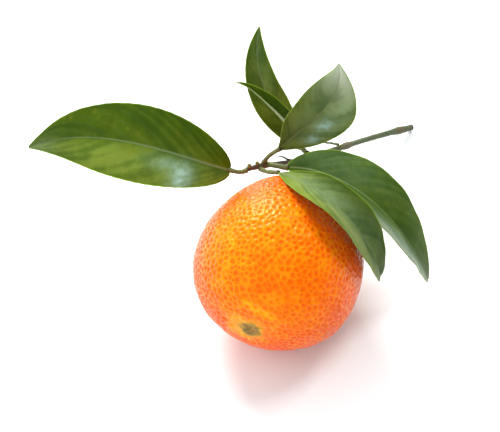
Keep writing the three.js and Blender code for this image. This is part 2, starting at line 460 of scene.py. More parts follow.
@dataclass(frozen=True)
class PeelFinish:
    """Waxy mandarin peel: deeper orange oil glands in a lighter net, with painted shade on the side away
    from the light, yellower patches painted on the lit side and a painted pink reflection on the net of the
    shaded rim.
    """

    flesh: Colour = (0.93, 0.168, 0.001)
    deep: Colour = (0.92, 0.138, 0.001)
    # painted shade: the darker red-orange of the side away from the light
    shade: Colour = (0.79, 0.074, 0.001)
    gland: Colour = (0.85, 0.085, 0.001)
    net: Colour = (0.96, 0.262, 0.003)
    # painted reflection: the pinkish-white glint of the net on the shaded rim
    painted_rim_reflection: Colour = (0.96, 0.200, 0.050)
    yellow: Colour = (0.95, 0.420, 0.004)
    halo: Colour = (0.74, 0.330, 0.010)
    scar_rim: Colour = (0.260, 0.200, 0.022)
    scar: Colour = (0.400, 0.220, 0.060)
    scar_dark: Colour = (0.120, 0.080, 0.025)
    blemish: Colour = (0.40, 0.150, 0.030)

    def material(self) -> bpy.types.Material:
        """Makes the peel's material.

        Returns:
            The finished material.
        """
        s = Shader("peel")
        colour = s.mix(s.span(s.noise(12.0), 0.35, 0.65), self.deep, self.flesh)
        # Painted shade: the side away from the light is darkened towards the shade colour.
        away = s.math("MULTIPLY", s.mark("painted_shade_mask"), s.span(s.noise(8.0), 0.3, 0.7, 0.75, 1.0))
        colour = s.mix(away, colour, self.shade)
        # Painted light: yellower patches laid only on the side that faces the light.
        painted_light_share = s.math("SUBTRACT", 1.0, s.mark("painted_shade_mask"))
        colour = s.mix(s.math("MULTIPLY", painted_light_share, s.span(s.noise(4.5, 4.0), 0.47, 0.68, 0.0, 0.42)),
                       colour, self.yellow)
        # Painted reflection: the net turns pinkish-white on the side away from the light, where the rim
        # catches a glint.
        net_and_reflection = s.mix(s.math("MULTIPLY", s.mark("painted_shade_mask"), s.span(s.noise(5.0), 0.40, 0.60)),
                    self.net, self.painted_rim_reflection)
        thin_net = s.math("MULTIPLY", s.mark("net"), s.span(s.noise(6.0, 4.0), 0.3, 0.7, 0.30, 1.0))
        colour = s.mix(thin_net, colour, net_and_reflection)
        dot = s.math("MULTIPLY", s.mark("gland"), s.span(s.noise(8.0, 4.0), 0.3, 0.7, 0.15, 0.66))
        colour = s.mix(dot, colour, self.gland)
        colour = s.mix(s.math("MULTIPLY", s.mark("yellow"), s.span(s.noise(2.5, 4.0), 0.3, 0.6, 0.3, 1.0)),
                       colour, self.yellow)
        stained = s.math("MULTIPLY", s.mark("halo"), s.span(s.noise(2.0, 4.0), 0.3, 0.7, 0.55, 1.0))
        colour = s.mix(stained, colour, self.halo)
        corky = s.mix(s.span(s.noise(0.8, 5.0, 0.7, (2.4, 1.0, 1.0)), 0.42, 0.6), self.scar_dark, self.scar)
        colour = s.mix(s.span(s.mark("scar"), 0.05, 0.60, 0.0, 0.70), colour, self.scar_rim)
        colour = s.mix(s.span(s.mark("scar"), 0.35, 0.95), colour, corky)
        colour = s.mix(s.math("MULTIPLY", s.mark("blemish"), 0.8), colour, self.blemish)
        shine = s.span(s.noise(3.0), 0.3, 0.7, 0.16, 0.27)
        dull = s.math("MULTIPLY", s.mark("scar"), 0.45)
        fine = s.bump(s.noise(0.6, 3.0, 0.6), 0.05, s.bump(s.noise(1.8, 2.0), 0.20))
        return s.finish(Base_Color=colour, Roughness=s.math("ADD", shine, dull), Normal=fine,
                        Subsurface_Weight=0.10, Subsurface_Radius=(1.0, 0.3, 0.05),
                        Subsurface_Scale=0.0012, IOR=1.45, Specular_IOR_Level=0.28,
                        Specular_Tint=(1.0, 0.60, 0.16), Coat_Weight=0.02, Coat_Roughness=0.12)


@dataclass(frozen=True)
class BladeFinish:
    """The glossy upper face of a leaf: mottled green under patches of painted sheen, painted light, painted
    shade and painted glare.
    """

    dark: Colour = (0.035, 0.074, 0.002)
    light: Colour = (0.060, 0.106, 0.003)
    yellow: Colour = (0.125, 0.160, 0.006)
    # painted light: the paler green of lit parts
    pale: Colour = (0.160, 0.210, 0.030)
    # painted shade: the darker green of shaded parts
    deep: Colour = (0.014, 0.034, 0.002)
    # painted sheen: bluish-white gloss
    painted_sheen: Colour = (0.270, 0.430, 0.350)
    # painted glare: whitish reflection
    painted_glare: Colour = (0.430, 0.480, 0.380)
    rib: Colour = (0.130, 0.185, 0.080)
    rib_base: Colour = (0.165, 0.185, 0.070)
    margin: Colour = (0.200, 0.320, 0.018)

    def material(self) -> bpy.types.Material:
        """Makes the upper face's material.

        Returns:
            The finished material.
        """
        s = Shader("leaf_upper")
        across = s.math("ABSOLUTE", s.mark("across"))
        edge = s.mark("edge")
        along = s.mark("along")
        mottle = s.mark("mottle")
        cloud = s.math("ADD", s.math("MULTIPLY", s.noise(6.0, 6.0, 0.68), 0.7),
                       s.math("MULTIPLY", mottle, 0.3))
        colour = s.mix(s.span(cloud, 0.32, 0.62), self.dark, self.light)
        # Painted light: lit parts of the blade paler.
        painted_share = s.math("MULTIPLY", s.mark(Tint.LIGHT_PAINT.value), s.span(cloud, 0.35, 0.62, 0.45, 1.1))
        colour = s.mix(painted_share, colour, self.pale)
        blotch = s.math("MULTIPLY", s.span(s.noise(2.6, 5.0, 0.65), 0.45, 0.75), s.span(mottle, 0.5, 0.9))
        colour = s.mix(s.math("MULTIPLY", blotch, 0.8), colour, self.yellow)
        # Painted shade: shaded parts of the blade darker.
        painted_share = s.math("MULTIPLY", s.mark(Tint.SHADE_PAINT.value), s.span(s.noise(3.5), 0.3, 0.7, 0.75, 1.0))
        colour = s.mix(painted_share, colour, self.deep)
        # Painted sheen: a broken bluish-white gloss.
        broken = s.math("MULTIPLY", s.span(s.noise(2.0, 5.0, 0.65), 0.32, 0.62, 0.55, 1.1),
                        s.span(mottle, 0.2, 0.7, 0.75, 1.05))
        colour = s.mix(s.math("MULTIPLY", s.mark(Tint.SHEEN_PAINT.value), broken), colour, self.painted_sheen)
        # Painted glare: whitish reflection near tips and edges.
        colour = s.mix(s.math("MULTIPLY", s.mark(Tint.GLARE_PAINT.value), s.span(cloud, 0.3, 0.7, 0.75, 1.0)),
                       colour, self.painted_glare)
        side_vein = s.math("MULTIPLY", s.mark("vein"), s.span(edge, 0.6, 3.0, 0.0, 0.08))
        colour = s.mix(side_vein, colour, self.rib)
        rib_width = s.span(along, 0.0, 1.0, 0.52, 0.14)
        rib = s.span(s.math("DIVIDE", across, rib_width), 1.1, 0.5, 0.0, 0.8)
        colour = s.mix(rib, colour, s.mix(s.span(along, 0.30, 0.0, 0.0, 0.8), self.rib, self.rib_base))
        colour = s.mix(s.span(edge, 0.42, 0.14, 0.0, 0.9), colour, self.margin)
        roughness = s.span(s.noise(2.2, 4.0), 0.25, 0.75, 0.38, 0.52)
        relief = s.bump(s.noise(1.3, 3.0), 0.03)
        relief = s.bump(s.cells(0.33), 0.010, relief)
        return s.finish(Base_Color=colour, Roughness=roughness, Normal=relief, IOR=1.46,
                        Specular_IOR_Level=0.08, Specular_Tint=(0.75, 1.0, 0.45),
                        Coat_Weight=0.02, Coat_Roughness=0.30)


@dataclass(frozen=True)
class UndersideFinish:
    """The paler, matt underside of a leaf."""

    ground: Colour = (0.120, 0.190, 0.055)
    shade: Colour = (0.085, 0.145, 0.035)
    rib: Colour = (0.230, 0.290, 0.090)
    dot: Colour = (0.060, 0.110, 0.020)

    def material(self) -> bpy.types.Material:
        """Makes the underside's material.

        Returns:
            The finished material.
        """
        s = Shader("leaf_underside")
        across = s.math("ABSOLUTE", s.mark("across"))
        colour = s.mix(s.span(s.noise(6.0), 0.35, 0.65), self.shade, self.ground)
        colour = s.mix(s.span(s.cells(0.8), 0.22, 0.10, 0.0, 0.5), colour, self.dot)
        colour = s.mix(s.math("MULTIPLY", s.mark("vein"), 0.6), colour, self.rib)
        rib_width = s.span(s.mark("along"), 0.0, 1.0, 0.75, 0.2)
        colour = s.mix(s.span(s.math("DIVIDE", across, rib_width), 1.2, 0.6, 0.0, 0.9), colour, self.rib)
        relief = s.bump(s.noise(0.5, 4.0), 0.02)
        return s.finish(Base_Color=colour, Roughness=0.62, Normal=relief, IOR=1.4)


@dataclass(frozen=True)
class StemFinish:
    """Young wood or a green stalk: two tones, fine grain along it, and a shade at its ends."""

    name: str
    ground: Colour
    streak: Colour
    end: Colour
    speck: Colour
    roughness: float = 0.55
    end_strength: float = 1.0

    def material(self) -> bpy.types.Material:
        """Makes the stem's material.

        Returns:
            The finished material.
        """
        s = Shader(self.name)
        along = s.mark("along")
        colour = s.mix(s.span(s.noise(1.1, 4.0, 0.6), 0.35, 0.65), self.ground, self.streak)
        ends = s.math("MAXIMUM", s.span(along, 0.14, 0.0), s.span(along, 0.84, 0.98))
        patchy = s.span(s.noise(1.5), 0.2, 0.6, 0.5 * self.end_strength, self.end_strength)
        colour = s.mix(s.math("MULTIPLY", ends, patchy), colour, self.end)
        colour = s.mix(s.span(s.cells(0.9), 0.16, 0.08, 0.0, 0.6), colour, self.speck)
        relief = s.bump(s.noise(0.3, 4.0), 0.03, s.bump(s.noise(1.0, 3.0), 0.06))
        rough = s.span(s.noise(0.8), 0.3, 0.7, self.roughness - 0.08, self.roughness + 0.1)
        return s.finish(Base_Color=colour, Roughness=rough, Normal=relief, IOR=1.45)


@dataclass(frozen=True)
class TwigFinish:
    """Grey-green young bark that darkens to purple-brown towards the tip, a darkening that is painted shade
    where the twig runs under the leaves.
    """

    ground: Colour = (0.085, 0.115, 0.045)
    streak: Colour = (0.055, 0.072, 0.030)
    # painted shade: the dark purple-brown of the twig's end under the leaves
    tip: Colour = (0.060, 0.040, 0.032)
    node: Colour = (0.110, 0.075, 0.032)
    collar: Colour = (0.045, 0.038, 0.022)
    speck: Colour = (0.230, 0.210, 0.130)

    def material(self) -> bpy.types.Material:
        """Makes the bark's material.

        Returns:
            The finished material.
        """
        s = Shader("twig_bark")
        along = s.mark("along")
        colour = s.mix(s.span(s.noise(1.2, 4.0, 0.65), 0.35, 0.65), self.ground, self.streak)
        # Painted shade: the twig darkens towards its tip, where it runs under the leaves.
        colour = s.mix(s.span(along, 0.66, 0.86, 0.0, 0.9), colour, self.tip)
        colour = s.mix(s.math("MULTIPLY", s.mark("node"), 0.75), colour, self.node)
        colour = s.mix(s.span(along, 0.022, 0.006, 0.0, 0.8), colour, self.collar)
        colour = s.mix(s.span(s.cells(1.3), 0.14, 0.06, 0.0, 0.7), colour, self.speck)
        relief = s.bump(s.noise(0.35, 5.0, 0.65), 0.04, s.bump(s.noise(1.4, 3.0), 0.08))
        rough = s.span(s.noise(0.9), 0.3, 0.7, 0.5, 0.72)
        return s.finish(Base_Color=colour, Roughness=rough, Normal=relief, IOR=1.45)


@dataclass(frozen=True)
class CutWoodFinish:
    """The snipped end of the twig: pale wood round a darker pith, with a bark rim."""

    wood: Colour = (0.330, 0.260, 0.130)
    ring: Colour = (0.200, 0.150, 0.065)
    pith: Colour = (0.120, 0.090, 0.045)

    def material(self) -> bpy.types.Material:
        """Makes the cut face's material.

        Returns:
            The finished material.
        """
        s = Shader("cut_wood")
        out = s.mark("out")
        rings = s.math("SINE", s.math("MULTIPLY", out, 16.0))
        colour = s.mix(s.span(rings, -0.5, 0.8, 0.0, 0.6), self.wood, self.ring)
        colour = s.mix(s.span(out, 0.28, 0.18), colour, self.pith)
        colour = s.mix(s.span(out, 0.84, 0.95), colour, self.ring)
        relief = s.bump(s.noise(0.15, 4.0), 0.03)
        return s.finish(Base_Color=colour, Roughness=0.75, Normal=relief)


# ---- The fruit -------------------------------------------------------------------------


@dataclass(frozen=True)
class Streak:
    """A coloured rub or streak on the peel, from one direction to another."""

    start: Point
    end: Point
    half_width: float

    def strength(self, directions: np.ndarray, radius: float) -> np.ndarray:
        """How strong the streak is in each direction.

        Args:
            directions: Directions from the fruit's centre, one a row.
            radius: The fruit's radius, in millimetres.

        Returns:
            1 on the streak's middle line, fading to 0 beside it.
        """
        first, last = unit(np.array(self.start)), unit(np.array(self.end))
        line = last - first
        length = max(float(line @ line), 1e-9)
        share = np.clip((directions - first) @ line / length, 0.0, 1.0)
        gap = np.linalg.norm(directions - first - share[:, None] * line, axis=1) * radius
        return np.exp(-((gap / self.half_width) ** 2))


@dataclass
class Fruit:
    """The whole fruit, lying on its side on a small flat spot."""

    equator_radius: float = 28.3
    pole_radius: float = 29.1
    taper: float = 0.025
    neck_height: float = 3.0
    neck_spread: float = 0.8
    dimple_depth: float = 1.4
    dimple_spread: float = 0.3
    centre_height: float = 28.0
    stem_direction: Point = (0.355, 0.935, 0.01)
    shoulder_height: float = 0.58
    shoulder_axis: Point = (0.0, -0.643, 0.766)
    shoulder_turn: float = -50.0
    mesh_cells: int = 128
    gland_rooms: tuple[float, ...] = (1.75, 1.45, 1.2, 0.95)
    gland_darts: int = 7000
    gland_fill: float = 0.37
    gland_depth: float = 0.16
    net_height: float = 0.09
    swell: float = 0.12
    furrows: int = 9
    furrow_depth: float = 0.35
    scar_radius: float = 3.5
    scar_depth: float = 0.25
    lip_height: float = 0.08
    flat_softness: float = 0.06
    halo_direction: Point = (-0.40, -0.91, -0.03)
    halo_radius: float = 6.4
    # The direction the painted light comes from: the peel is painted darker away from it and yellower
    # towards it.
    sunny_side: Point = (-0.12, -0.60, 0.79)
    yellow_streak: Streak = Streak((-0.40, -0.83, 0.40), (-0.13, -0.95, 0.28), 1.3)
    brown_streaks: tuple[Streak, ...] = (
        Streak((0.46, -0.86, -0.20), (0.52, -0.84, -0.17), 0.8),
        Streak((-0.77, -0.61, -0.19), (-0.76, -0.62, -0.20), 0.5),
    )
    specks: int = 16
    seed: int = 11

    def axis(self) -> np.ndarray:
        """The direction from the fruit's centre to its stalk."""
        return unit(np.array(self.stem_direction))

    def centre(self) -> np.ndarray:
        """The middle of the fruit."""
        return np.array((0.0, 0.0, self.centre_height))

    def round_radius(self, angle: np.ndarray) -> np.ndarray:
        """The radius of the plain round fruit with its neck and dimple.

        Args:
            angle: The angle from the stem pole, in radians.

        Returns:
            The distance from the centre to the surface.
        """
        ellipse = 1.0 / np.hypot(np.cos(angle) / self.pole_radius, np.sin(angle) / self.equator_radius)
        body = ellipse * (1.0 - self.taper * np.cos(angle))
        neck = self.neck_height * np.exp(-((angle / self.neck_spread) ** 2))
        dimple = self.dimple_depth * np.exp(-(((np.pi - angle) / self.dimple_spread) ** 2))
        return body + neck - dimple

    def radius(self, directions: np.ndarray) -> np.ndarray:
        """The smooth fruit's radius, with its three low shoulders.

        Args:
            directions: Directions from the centre, one a row.

        Returns:
            The distance from the centre to the surface.
        """
        right = np.array((1.0, 0.0, 0.0))
        across = directions @ right
        over = directions @ np.cross(unit(np.array(self.shoulder_axis)), right)
        turn = np.arctan2(over, across) - math.radians(self.shoulder_turn)
        shoulder = self.shoulder_height * np.hypot(across, over) ** 3 * np.cos(3.0 * turn)
        return self.round_radius(self.stem_angle(directions)) + shoulder

    def stem_angle(self, directions: np.ndarray) -> np.ndarray:
        """The angle between each direction and the stem pole, in radians."""
        return np.arccos(np.clip(directions @ self.axis(), -1.0, 1.0))

    def past_stem_end(self, distance: float) -> np.ndarray:
        """A place on the fruit's axis, this far out from the stem end of the peel."""
        reach = float(self.radius(self.axis()[None])[0])
        return self.centre() + self.axis() * (reach + distance)

    def even_sphere(self) -> tuple[np.ndarray, list]:
        """Directions spread evenly over a sphere, as six square grids whose edges are shared.

        Returns:
            The directions, one a row, and the faces between them.
        """
        n = self.mesh_cells
        slope = np.tan(np.linspace(-np.pi / 4.0, np.pi / 4.0, n + 1))
        first, second = np.meshgrid(slope, slope, indexing="ij")
        ones = np.ones_like(first)
        sheets, faces = [], []
        for axis in range(3):
            for sign in (-1.0, 1.0):
                sheet = np.roll(np.stack([ones * sign, first, second], axis=-1), axis, axis=-1)
                faces += grid_faces(n + 1, n + 1, False, len(sheets) * (n + 1) ** 2, flip=sign < 0)
                sheets.append(unit(sheet).reshape(-1, 3))
        every = np.vstack(sheets)
        _, kept, merged = np.unique(every.round(6), axis=0, return_index=True, return_inverse=True)
        return every[kept], merged.ravel()[np.array(faces)].tolist()

    def scatter_glands(self) -> tuple[np.ndarray, np.ndarray]:
        """Scatters the oil glands: the wide ones first, then smaller ones in the gaps.

        Returns:
            The direction of each gland, and the width of the room that it has.
        """
        rng = np.random.default_rng(self.seed)
        most = self.gland_darts * len(self.gland_rooms)
        spots, rooms, count = np.empty((most, 3)), np.empty(most), 0
        for room in self.gland_rooms:
            for dart in unit(rng.normal(size=(self.gland_darts, 3))):
                gap = 0.5 * (rooms[:count] + room) / self.equator_radius
                if np.all(spots[:count] @ dart < 1.0 - 0.5 * gap**2):
                    spots[count], rooms[count] = dart, room
                    count += 1
        return spots[:count], rooms[:count]

    def gland_marks(self, directions: np.ndarray) -> tuple[np.ndarray, np.ndarray, np.ndarray]:
        """Where the glands and the net between them lie.

        Args:
            directions: Directions from the centre, one a row.

        Returns:
            The gland's disc and the net, each from 0 to 1, and the depth of the pit.
        """
        glands, rooms = self.scatter_glands()
        tree = KDTree(len(glands))
        for number, spot in enumerate(glands):
            tree.insert(spot, number)
        tree.balance()
        near = np.array([[hit[1:] for hit in tree.find_n(d, 4)] for d in directions])
        room = rooms[near[..., 0].astype(int)]
        share = np.sort(near[..., 1] * self.equator_radius / room, axis=1)
        rng = np.random.default_rng(self.seed + 4)
        own = near[:, 0, 0].astype(int)
        deep = rng.uniform(0.55, 1.45, len(glands))[own]
        disc = smoothstep(self.gland_fill * 1.3, self.gland_fill * 0.6, share[:, 0])
        pit = np.exp(-((share[:, 0] / (0.9 * self.gland_fill)) ** 2)) * deep * room[:, 0]
        net = smoothstep(0.42, 0.0, share[:, 1] - share[:, 0])
        return disc * np.clip(0.4 + 0.6 * deep, 0.0, 1.0), net, pit

    def build(self) -> bpy.types.Object:
        """Makes the fruit with its gland pits, furrowed neck, blossom scar and flat spot.

        Returns:
            The finished fruit.
        """
        directions, faces = self.even_sphere()
        angle = self.stem_angle(directions)
        blossom_distance = (np.pi - angle) * self.equator_radius
        stem_distance = angle * self.equator_radius
        smooth = directions * self.equator_radius
        gland, net, pit = self.gland_marks(directions)
        edge = blossom_distance + 0.45 * wobble(smooth, 2.4, self.seed + 5)
        scar = smoothstep(self.scar_radius + 1.5, self.scar_radius - 1.9, edge)
        clear = smoothstep(self.scar_radius - 0.5, self.scar_radius + 2.5, blossom_distance)
        clear = clear * smoothstep(3.0, 6.0, stem_distance)

        radius = self.radius(directions) - clear * self.gland_depth * pit
        radius += clear * self.net_height * net
        radius += self.swell * wobble(smooth, 26.0, self.seed) + 0.045 * wobble(smooth, 5.0, self.seed + 3)
        radius += self.furrow_depth * self.furrow(directions) * np.exp(-(((stem_distance - 6.0) / 4.5) ** 2))
        grain = 0.5 * wobble(smooth, 1.0, self.seed + 6, 16)
        radius += scar * (0.07 * grain - self.scar_depth * np.exp(-((blossom_distance / 1.3) ** 2)))
        lip = np.exp(-(((edge - self.scar_radius) / 0.7) ** 2))
        radius += self.lip_height * lip
        vertices = self.centre() + directions * radius[:, None]
        level = vertices[:, 2]
        vertices[:, 2] = 0.5 * (level + np.sqrt(level**2 + self.flat_softness**2))

        halo_gap = np.linalg.norm(directions - unit(np.array(self.halo_direction)), axis=1)
        halo_gap = halo_gap * self.equator_radius + 0.7 * wobble(smooth, 4.0, self.seed + 7)
        marks = {
            "gland": gland * clear,
            "net": net * clear,
            "scar": scar,
            "halo": smoothstep(self.halo_radius + 2.0, self.halo_radius - 2.5, halo_gap),
            "yellow": self.yellow_streak.strength(directions, self.equator_radius),
            "blemish": self.blemishes(directions),
            # How far each place lies on the side away from the light; the peel's painted shade and painted
            # rim reflection follow it.
            "painted_shade_mask": smoothstep(0.88, 0.40, directions @ unit(np.array(self.sunny_side))),
        }
        piece = Form(vertices, faces, marks).make("mandarin_fruit", [PeelFinish().material()])
        stand_for(piece, "fruit")
        return piece

    def furrow(self, directions: np.ndarray) -> np.ndarray:
        """The low ridges and furrows that run down the neck.

        Args:
            directions: Directions from the centre, one a row.

        Returns:
            The height of the ridge at each place, from -1 to 1.
        """
        side = unit(np.cross(self.axis(), (0.0, 0.0, 1.0)))
        bearing = np.arctan2(directions @ np.cross(self.axis(), side), directions @ side)
        return np.cos(self.furrows * bearing + 0.8 * np.sin(2.0 * bearing))

    def blemishes(self, directions: np.ndarray) -> np.ndarray:
        """Small brown specks scattered over the peel, and the brown rub marks.

        Args:
            directions: The directions of the peel's vertices.

        Returns:
            How brown each vertex is, from 0 to 1.
        """
        rng = np.random.default_rng(self.seed + 2)
        spots = unit(rng.normal(size=(self.specks, 3)))
        widths = rng.uniform(0.3, 0.6, self.specks)
        scattered = [Streak(tuple(spot), tuple(spot), width) for spot, width in zip(spots, widths)]
        marks = [0.5 * speck.strength(directions, self.equator_radius) for speck in scattered]
        patchy = np.clip(0.7 + 0.5 * wobble(directions * self.equator_radius, 1.2, self.seed + 8), 0.0, 1.0)
        marks += [patchy * rub.strength(directions, self.equator_radius) for rub in self.brown_streaks]
        return np.max(marks, axis=0)


# ---- Leaves ----------------------------------------------------------------------------


@dataclass(frozen=True)
class Patch:
    """A patch of painted light or shade on a blade's upper face, its tint saying which kind, in shares of
    its length and half width.
    """

    tint: Tint
    along: float
    across: float
    length: float
    width: float
    strength: float

    def painted_share(self, share: np.ndarray, across: np.ndarray) -> np.ndarray:
        """How strong the tint is at each place."""
        gap = ((share - self.along) / self.length) ** 2 + ((across - self.across) / self.width) ** 2
        return self.strength * np.exp(-gap)


@dataclass
class Leaf:
    """One leaf: a folded blade with a midrib and side veins, and its stalk."""

    name: str
    rib: list[Point]
    face: list[Point]
    width: float
    widest: float
    ends: tuple[float, float]
    fold: float
    stalk: list[Point]
    # Patches of painted light, shade, sheen and glare on the upper face.
    patches: list[Patch] = field(default_factory=list)
    wave: float = 0.5
    seed: int = 1
    rows: int = 150
    columns: int = 65
    thickness: float = 0.34
    edge_thickness: float = 0.18
    side_veins: int = 11
    vein_lean: float = 0.0078
    vein_curve: float = 0.10
    end_trim: float = 0.008
    stalk_radius: tuple[float, float] = (0.62, 0.8)
    gutter: float = 0.9
    tooth_depth: float = 0.003
    teeth: float = 22.0

    def rib_line(self, share: np.ndarray) -> tuple[np.ndarray, np.ndarray]:
        """The midrib: the cubic that passes its four points at 0, 1/3, 2/3 and 1.

        Args:
            share: How far along, from 0 at the base to 1 at the tip.

        Returns:
            The places on the midrib and the directions along it.
        """
        base, lower, upper, tip = (np.array(p, float) for p in self.rib)
        first = (-5.0 * base + 18.0 * lower - 9.0 * upper + 2.0 * tip) / 6.0
        second = (2.0 * base - 9.0 * lower + 18.0 * upper - 5.0 * tip) / 6.0
        s = share[:, None]
        r = 1.0 - s
        place = r**3 * base + 3.0 * r**2 * s * first + 3.0 * r * s**2 * second + s**3 * tip
        along = 3.0 * r**2 * (first - base) + 6.0 * r * s * (second - first) + 3.0 * s**2 * (tip - second)
        return place, unit(along)

    def half_width(self, share: np.ndarray) -> np.ndarray:
        """Half the blade's width along its length.

        Args:
            share: How far along, from 0 at the base to 1 at the tip.

        Returns:
            The half width at each place.
        """
        skew = math.log(0.5) / math.log(self.widest)
        fullness = self.ends[0] + (self.ends[1] - self.ends[0]) * share
        return 0.5 * self.width * np.sin(np.pi * share**skew) ** fullness

    def vein_height(self, share: np.ndarray, out: np.ndarray, side: np.ndarray) -> np.ndarray:
        """Where the side veins run: 1 on a vein, 0 between two.

        Args:
            share: How far along the blade.
            out: How far out from the midrib, from 0 to 1.
            side: -1 on the left half and 1 on the right.

        Returns:
            The strength of the vein at each place.
        """
        gap = self.vein_phase(share, out, side)
        gap = np.abs(gap - np.round(gap))
        return np.exp(-((gap / 0.09) ** 2)) * smoothstep(1.0, 0.8, out) * smoothstep(0.02, 0.1, share)

    def vein_phase(self, share: np.ndarray, out: np.ndarray, side: np.ndarray) -> np.ndarray:
        """Counts the side veins from the base.

        Args:
            share: How far along the blade.
            out: How far out from the midrib, from 0 to 1.
            side: -1 on the left half and 1 on the right.

        Returns:
            The count at each place, a whole number on each vein.
        """
        lean = self.vein_lean * self.width * out + self.vein_curve * out**2
        shift = 0.25 * side + 0.12 * np.sin(7.0 * share + 3.0 * side + self.seed)
        return (share - lean) * self.side_veins + shift

    def mottle(self, share: np.ndarray, out: np.ndarray, side: np.ndarray) -> np.ndarray:
        """Uneven green in soft strips that run out along the side veins.

        Args:
            share: How far along the blade.
            out: How far out from the midrib, from 0 to 1.
            side: -1 on the left half and 1 on the right.

        Returns:
            How light each place is, about 0 to 1.
        """
        phase = self.vein_phase(share, out, side)
        wide = np.stack([phase, 1.1 * out, 5.0 * side], axis=-1).reshape(-1, 3)
        narrow = np.stack([3.0 * phase, 1.5 * out, 5.0 * side], axis=-1).reshape(-1, 3)
        swell = 0.24 * wobble(wide, 2.6, self.seed + 50, 14) + 0.17 * wobble(narrow, 2.2, self.seed + 60, 14)
        return np.clip(0.5 + swell.reshape(share.shape), 0.0, 1.0)

    def blade(self, finishes: list[bpy.types.Material]) -> bpy.types.Object:
        """Makes the blade as one thin closed sheet.

        Args:
            finishes: The upper face's finish and the underside's.

        Returns:
            The finished blade.
        """
        share = np.linspace(self.end_trim, 1.0 - self.end_trim, self.rows)
        out_signed = np.sin(np.linspace(-np.pi / 2.0, np.pi / 2.0, self.columns))
        out_signed = 0.5 * out_signed + 0.5 * np.linspace(-1.0, 1.0, self.columns)
        centre, along = self.rib_line(share)
        face_base, face_tip = (np.array(f, float) for f in self.face)
        up = face_base[None] * (1.0 - share[:, None]) + face_tip[None] * share[:, None]
        up = unit(up - along * np.sum(up * along, axis=1, keepdims=True))
        right = np.cross(along, up)
        reach = self.half_width(share)

        s, c = np.meshgrid(share, out_signed, indexing="ij")
        out, side = np.abs(c), np.sign(c)
        distance = out * reach[:, None]
        fold = math.radians(self.fold)
        lift = np.sqrt(distance**2 + self.gutter**2) - self.gutter
        vein = self.vein_height(s, out, side)
        teeth = 1.0 + self.tooth_depth * np.sin(2.0 * np.pi * (self.teeth * s + 0.3 * side))
        flat = distance * math.cos(fold) * teeth * side
        arch = 0.045 * reach[:, None] * np.sin(np.pi * out)
        ripple = self.wave * out**2 * np.sin(2.0 * np.pi * (2.3 * s + 0.27 * side) + self.seed)
        ends_fade = np.sin(np.pi * s) ** 0.5
        height = lift * math.sin(fold) + arch + ripple * ends_fade
        middle = centre[:, None] + right[:, None] * flat[..., None] + up[:, None] * height[..., None]
        middle += up[:, None] * (0.10 * wobble(middle.reshape(-1, 3), 9.0, self.seed).reshape(s.shape)
                                 * smoothstep(0.0, 0.3, out))[..., None]

        rib_width = 0.55 * (1.0 - s) + 0.18 * s
        on_rib = np.exp(-((distance / rib_width) ** 2))
        half = 0.5 * (self.edge_thickness + (self.thickness - self.edge_thickness) * (1.0 - out**4))
        top = half + 0.10 * on_rib - 0.16 * np.exp(-((distance / (2.2 * rib_width)) ** 2)) - 0.05 * vein
        bottom = half + 0.42 * on_rib * (1.15 - s) + 0.07 * vein
        upper = (middle + up[:, None] * top[..., None]).reshape(-1, 3)
        lower = (middle - up[:, None] * bottom[..., None]).reshape(-1, 3)

        count = self.rows * self.columns
        faces = grid_faces(self.rows, self.columns, False, flip=True)
        face_materials = [0] * len(faces)
        faces += grid_faces(self.rows, self.columns, False, count)
        faces += self.rim_faces(count)
        face_materials += [1] * (len(faces) - len(face_materials))
        edge = (1.0 - out) * reach[:, None]
        marks = {
            "across": np.tile((distance * side).ravel(), 2),
            "edge": np.tile(edge.ravel(), 2),
            "along": np.tile(s.ravel(), 2),
            "vein": np.tile(vein.ravel(), 2),
            "mottle": np.tile(self.mottle(s, out, side).ravel(), 2),
        }
        # Marks for the painted light, shade, sheen and glare patches.
        for tint in Tint:
            painted_shares = [patch.painted_share(s, c) for patch in self.patches if patch.tint is tint]
            marks[tint.value] = np.tile(np.sum([np.zeros_like(s), *painted_shares], axis=0).ravel(), 2)
        form = Form(np.vstack([upper, lower]), faces, marks, face_materials)
        piece = form.make(f"{self.name}_leaf_blade", finishes)
        stand_for(piece, f"{self.name}_leaf")
        return piece

    def rim_faces(self, count: int) -> list:
        """The narrow faces that join the upper face to the underside all round.

        Args:
            count: How many vertices each side has.

        Returns:
            The faces as lists of vertex numbers.
        """
        rows, columns = self.rows, self.columns
        left = [row * columns for row in range(rows)]
        right = [row * columns + columns - 1 for row in range(rows)]
        base = list(range(columns))
        tip = [(rows - 1) * columns + column for column in range(columns)]
        loop = left[::-1] + base[1:] + right[1:] + tip[::-1][1:-1]
        following = loop[1:] + loop[:1]
        return [[a, a + count, b + count, b] for a, b in zip(loop, following)]

    def leaf_stalk(self, finish: bpy.types.Material) -> bpy.types.Object:
        """Makes the stalk, swollen where it leaves the twig and where it meets the blade.

        Args:
            finish: The stalk's finish.

        Returns:
            The finished stalk.
        """
        start, *middle, end = (np.array(p, float) for p in self.stalk)
        blade_start, _ = self.rib_line(np.array([0.012]))
        into_twig = start + 0.7 * unit(start - middle[0])
        into_blade = blade_start[0] + 0.5 * unit(blade_start[0] - middle[-1])
        path = smooth_path([into_twig, *middle, into_blade], 60)
        share = np.linspace(0.0, 1.0, len(path))
        thin, thick = self.stalk_radius
        swell = np.exp(-((share / 0.16) ** 2)) + 0.7 * np.exp(-(((share - 1.0) / 0.14) ** 2))
        turn = np.linspace(0.0, 2.0 * np.pi, 24, endpoint=False)
        ridges = 1.0 + 0.05 * np.cos(3.0 * turn)[None] * (1.0 - 0.5 * swell[:, None])
        radii = (thin + (thick - thin) * swell)[:, None] * ridges
        form = tube(path, radii, len(turn))
        form.vertices = form.vertices + 0.03 * wobble(form.vertices, 1.6, self.seed)[:, None]
        piece = form.make(f"{self.name}_leaf_stem", [finish])
        stand_for(piece, f"{self.name}_leaf_stalk")
        return piece


